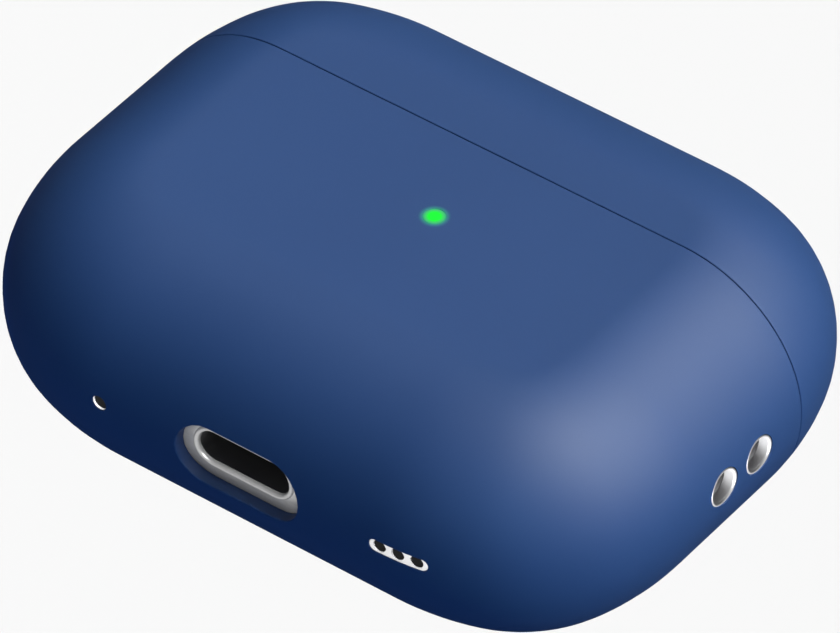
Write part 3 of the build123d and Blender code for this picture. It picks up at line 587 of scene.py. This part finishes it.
def build_sleeve(materials):
    shared = [groove_cutter(), hinge_window_cutter()]
    base_holes = sleeve_cutters()
    base = half_body("sleeve_base_skin", 0, SLEEVE_WALL, HINGE_Y - SEAM_GAP / 2, -1, RIM_ROUND)
    cut(base, shared + base_holes)
    lid = half_body("sleeve_lid_skin", 0, SLEEVE_WALL, HINGE_Y + SEAM_GAP / 2, 1, RIM_ROUND)
    cut(lid, shared)
    discard(shared + base_holes)
    for obj in (base, lid):
        set_true_normals(obj)
    finish_piece(base, "base", materials["silicone_blue"], "sleeve_base", slot="silicone_blue")
    finish_piece(lid, "lid", materials["silicone_blue"], "sleeve_lid", slot="silicone_blue")


# ---- fittings in the sleeve's openings -----------------------------------------------------------
def loft(name, rings, closed=False):
    """Skin over rings of equal length. Closed joins the last ring to the first, or else both are capped."""
    count = len(rings[0])
    points = [p for ring in rings for p in ring]
    spans = list(zip(range(len(rings)), list(range(1, len(rings))) + [0]))
    faces = []
    for one, two in spans if closed else spans[:-1]:
        for i in range(count):
            j = (i + 1) % count
            faces.append((one * count + i, one * count + j, two * count + j, two * count + i))
    if not closed:
        faces += [tuple(range(count)), tuple(range((len(rings) - 1) * count, len(rings) * count))]
    return mesh_object(name, points, faces)


def smooth(obj, angle=40):
    for polygon in obj.data.polygons:
        polygon.use_smooth = True
    obj.data.set_sharp_from_angle(angle=radians(angle))


def stadium_on_bottom(size, grow, centre, depth, steps=16):
    return [skin_bottom(centre[0] + u, centre[1] + v, depth) for u, v in stadium(*size, grow, steps)]


def build_port(materials):
    """Ring with a flat land and a rolled lip about the opening, and a dark throat."""
    outer, opening, raised = (12.5, 6.4), (8.9, 3.0), 0.1
    lip_width, lip_height, lip_foot, land, back = 0.46, 0.27, 0.06, 1.15, 2.2
    place = (0, centre_mm("port_shell").z + raised)
    edge = ((0, back), (0, land + 0.1), (-0.1, land))
    rings = [stadium_on_bottom(outer, grow, (0, MID_Z), depth) for grow, depth in edge]
    lip = [(lip_width + lip_foot, land)]
    for t in np.linspace(0, pi, 11):
        sunk = land - 0.02 if t < pi / 2 else land
        lip.append((lip_width * (1 + cos(t)) / 2, sunk - lip_height * sin(t)))
    lip += [(0, 1.3), (0.3, 1.3), (0.3, back)]
    rings += [stadium_on_bottom(opening, grow, place, depth) for grow, depth in lip]
    ring = loft("port_ring", rings, closed=True)
    smooth(ring, 50)
    finish_piece(ring, "base", materials["port_metal"], "port_bezel", slot="satin_steel")
    mouth, end = 1.32, 8.5
    walls = ((0.01, mouth), (0.01, end), (0.25, end), (0.25, mouth))
    rings = [stadium_on_bottom(opening, grow, place, depth) for grow, depth in walls]
    throat = loft("port_throat", rings, closed=True)
    smooth(throat, 50)
    # lighter grey throat: painted light
    finish_piece(throat, "base", materials["black_plastic_painted_lit"], "port_shell", slot="black_plastic")


def lathe_ring(name, profile, place, steps=48):
    """Ring turned from (radius, depth) pairs; place(u, v, depth) puts each point on the case."""
    rings = []
    for radius, depth in profile:
        turns = [2 * pi * k / steps for k in range(steps)]
        rings.append([place(radius * cos(t), radius * sin(t), depth) for t in turns])
    return loft(name, rings, closed=True)


def build_eyelets(materials):
    """Two polished ferrules, each with a bell mouth."""
    outer, mouth, bore, top, end = 1.70, 1.60, 1.40, 0.03, 1.08
    turns = np.linspace(0, pi / 2, 9)
    bell = [(mouth - (mouth - bore) * sin(t), top + 0.25 * (1 - cos(t))) for t in turns]
    profile = [(outer, end), (outer, 0.10), (outer - 0.03, 0.05)] + bell + [(bore, end)]
    for number, y in enumerate(eyelet_ys()):
        def place(u, v, depth):
            return skin_right(y + u, eyelet_z() + v, depth)

        ring = lathe_ring(f"eyelet_{number + 1}", profile, place)
        smooth(ring, 45)
        finish_piece(ring, "base", materials["polished_steel"], "eyelet_rings", slot="polished_steel")


def build_microphone(materials):
    """White tube with a rounded mouth, and the dark mesh just inside it."""
    centre = centre_mm("mic_tube")
    bore, outer, ease, top, end, steps = 0.66, 0.93, 0.03, 0.12, 2.5, 36

    def place(u, v, depth):
        return skin_bottom(centre.x + u, centre.z + v, depth)

    mouth = [(bore + ease * (1 - sin(t)), top + ease * (1 - cos(t))) for t in np.linspace(0, pi / 2, 5)]
    profile = [(outer, end), (outer, top)] + mouth + [(bore, end)]
    tube = lathe_ring("microphone_tube", profile, place, steps)
    smooth(tube)
    # lighter white: painted light on the microphone tube
    finish_piece(tube, "base", materials["white_gloss_painted_lit"], "mic_tube", slot="white_gloss")
    turns = [2 * pi * k / steps for k in range(steps)]
    reach = bore - 0.01
    rings = [[place(reach * cos(t), reach * sin(t), depth) for t in turns] for depth in (0.7, 0.30)]
    mesh = loft("microphone_mesh", rings)
    smooth(mesh)
    finish_piece(mesh, "base", materials["black_plastic"], "mic_mesh", slot="black_plastic")


def build_grille(materials):
    """White plate with three holes, and the dark mesh close behind it."""
    centre = centre_mm("speaker_grille")
    size, pitch, hole, rise, steps, hole_steps = (5.36, 1.18), 1.68, 0.58, 0.11, 10, 32
    edge = ((0, 0.42), (0, 0.12), (-0.02, 0.07), (-0.06, 0.05))
    middle = (centre.x, centre.z)
    rings = [stadium_on_bottom(size, grow, middle, depth, steps) for grow, depth in edge]
    plate = loft("grille_plate", rings)
    turns = [2 * pi * k / hole_steps for k in range(hole_steps)]
    cutters = []
    for index in (-1, 0, 1):
        rings = []
        for radius, depth in ((hole + 0.03, -0.3), (hole + 0.03, 0.05), (hole, 0.09), (hole, 0.8)):
            x, z = centre.x + index * pitch, centre.z + rise
            rings.append([skin_bottom(x + radius * cos(t), z + radius * sin(t), depth) for t in turns])
        cutters.append(loft("hole", rings))
    cut(plate, cutters)
    discard(cutters)
    smooth(plate, 30)
    # lighter white: painted light on the grille plate
    finish_piece(plate, "base", materials["white_gloss_painted_lit"], "speaker_grille", slot="white_gloss")
    rings = [stadium_on_bottom(size, -0.05, middle, depth, steps) for depth in (0.6, 0.18)]
    mesh = loft("grille_mesh", rings)
    smooth(mesh, 30)
    finish_piece(mesh, "base", materials["black_plastic"], "speaker_mesh", slot="black_plastic")


# ---- studio --------------------------------------------------------------------------------------
def direction(azimuth, elevation):
    """Unit vector towards an azimuth (0 is -Y, 90 is +X) and elevation, in degrees."""
    a, e = radians(azimuth), radians(elevation)
    return Vector((sin(a) * cos(e), -cos(a) * cos(e), sin(e)))


def add_camera(centre):
    azimuth, elevation, roll, distance = 36.695, 41.972, 0.178, 0.83735
    camera = bpy.data.objects.new("camera", bpy.data.cameras.new("camera"))
    bpy.context.collection.objects.link(camera)
    back = direction(azimuth, elevation)
    camera.location = centre + back * distance
    camera.rotation_mode = "QUATERNION"
    camera.rotation_quaternion = Quaternion(back, radians(roll)) @ back.to_track_quat("Z", "Y")
    camera.data.sensor_width = 36
    camera.data.lens = 453.3
    camera.data.shift_x, camera.data.shift_y = 0.00153, -0.00658
    camera.data.clip_end = 10
    bpy.context.scene.camera = camera


def linked(name, objects, state):
    """Collection of the only pieces that a light meets (INCLUDE), or of those it misses (EXCLUDE)."""
    collection = bpy.data.collections.new(name)
    for obj in objects:
        collection.objects.link(obj)
    for entry in collection.collection_objects:
        entry.light_linking.link_state = state
    return collection


def add_sun(name, azimuth, elevation, strength, spread, colour=(1, 1, 1), only=(), without=(),
            through=()):
    """Parallel soft light: the same strength at any distance, spread over a wide disc of the sky.

    It lights everything, or just the pieces in only, or all but the pieces in without. The pieces in
    through cast no shadow in it.
    """
    data = bpy.data.lights.new(name, "SUN")
    data.energy, data.angle, data.color = strength, radians(spread), colour
    light = bpy.data.objects.new(name, data)
    bpy.context.collection.objects.link(light)
    light.rotation_mode = "QUATERNION"
    light.rotation_quaternion = direction(azimuth, elevation).to_track_quat("Z", "Y")
    if only:
        light.light_linking.receiver_collection = linked(name, only, "INCLUDE")
    if without:
        light.light_linking.receiver_collection = linked(name, without, "EXCLUDE")
    if through:
        light.light_linking.blocker_collection = linked(name + "_through", through, "EXCLUDE")
    return light


def add_floor():
    """Pale floor that shows but doesn't light the case: the bounce lights stand in for it."""
    material, nodes, links, shader = new_material("floor")
    tones = (0.625, 0.625, 0.625), (0.635, 0.635, 0.635)
    surface_detail(nodes, links, shader, tones, 3, (0.8, 0.9), (400, 0.0001, 0.02))
    bpy.ops.mesh.primitive_plane_add(size=24, location=(0, 0, FLOOR_Z * MM))
    floor = bpy.context.object
    floor.name = "floor"
    floor.data.materials.append(material)
    floor.visible_glossy = floor.visible_diffuse = False


def add_world():
    """Dark as a light, and as pale as the floor to the camera, so that no horizon shows."""
    world = bpy.data.worlds.new("studio")
    bpy.context.scene.world = world
    world.use_nodes = True
    nodes, links = world.node_tree.nodes, world.node_tree.links
    seen = nodes.new("ShaderNodeLightPath")
    level = nodes.new("ShaderNodeMapRange")
    level.inputs["To Min"].default_value, level.inputs["To Max"].default_value = 0.02, 0.95
    links.new(seen.outputs["Is Camera Ray"], level.inputs["Value"])
    nodes["Background"].inputs["Color"].default_value = (1, 1, 1, 1)
    links.new(level.outputs["Result"], nodes["Background"].inputs["Strength"])


def build_studio():
    """Floor and lamps: azimuth, elevation, strength and spread in degrees of each."""
    centre = (Vector(cad_box[0]) + Vector(cad_box[1])) / 2
    add_camera(centre)
    add_floor()
    add_world()
    floor, *skins = [bpy.data.objects[name] for name in ("floor", "sleeve_base_skin", "sleeve_lid_skin")]
    eyelets = [bpy.data.objects[name] for name in ("eyelet_1", "eyelet_2")]
    fittings = [bpy.data.objects[name] for name in ("port_ring", "microphone_tube", "grille_plate")]
    add_sun("key", 108, 55, 4.7, 45, without=eyelets)
    add_sun("side", 103, 20, 1.5, 28, without=eyelets)
    add_sun("lower", 180, 55, 0.35, 28, without=eyelets)
    add_sun("camera_side", 25, 20, 0.7, 50, (0.25, 0.6, 1.0), only=skins)
    bounce = add_sun("skin_bounce", 0, -90, 2.3, 150, (0.1, 0.4, 1.0), only=skins, through=[floor])
    far_side = add_sun("skin_far_side", 275, -20, 0.8, 60, (0.3, 0.45, 1.0), only=skins, through=[floor])
    bounce.visible_glossy = far_side.visible_glossy = False
    add_sun("bounce", 0, -90, 2.0, 150, without=skins + eyelets + [floor], through=[floor])
    add_sun("fittings", 32, 37, 2.9, 30, only=fittings)
    add_sun("microphone", 60, 40, 2.4, 30, only=[bpy.data.objects["microphone_tube"]])
    add_sun("eyelets", 38, -22, 17, 45, only=eyelets, through=[floor])
    bpy.context.scene.view_settings.view_transform = "Standard"


materials = make_materials()
paint_cad_nodes(materials)
build_sleeve(materials)
build_port(materials)
build_eyelets(materials)
build_microphone(materials)
build_grille(materials)
build_studio()
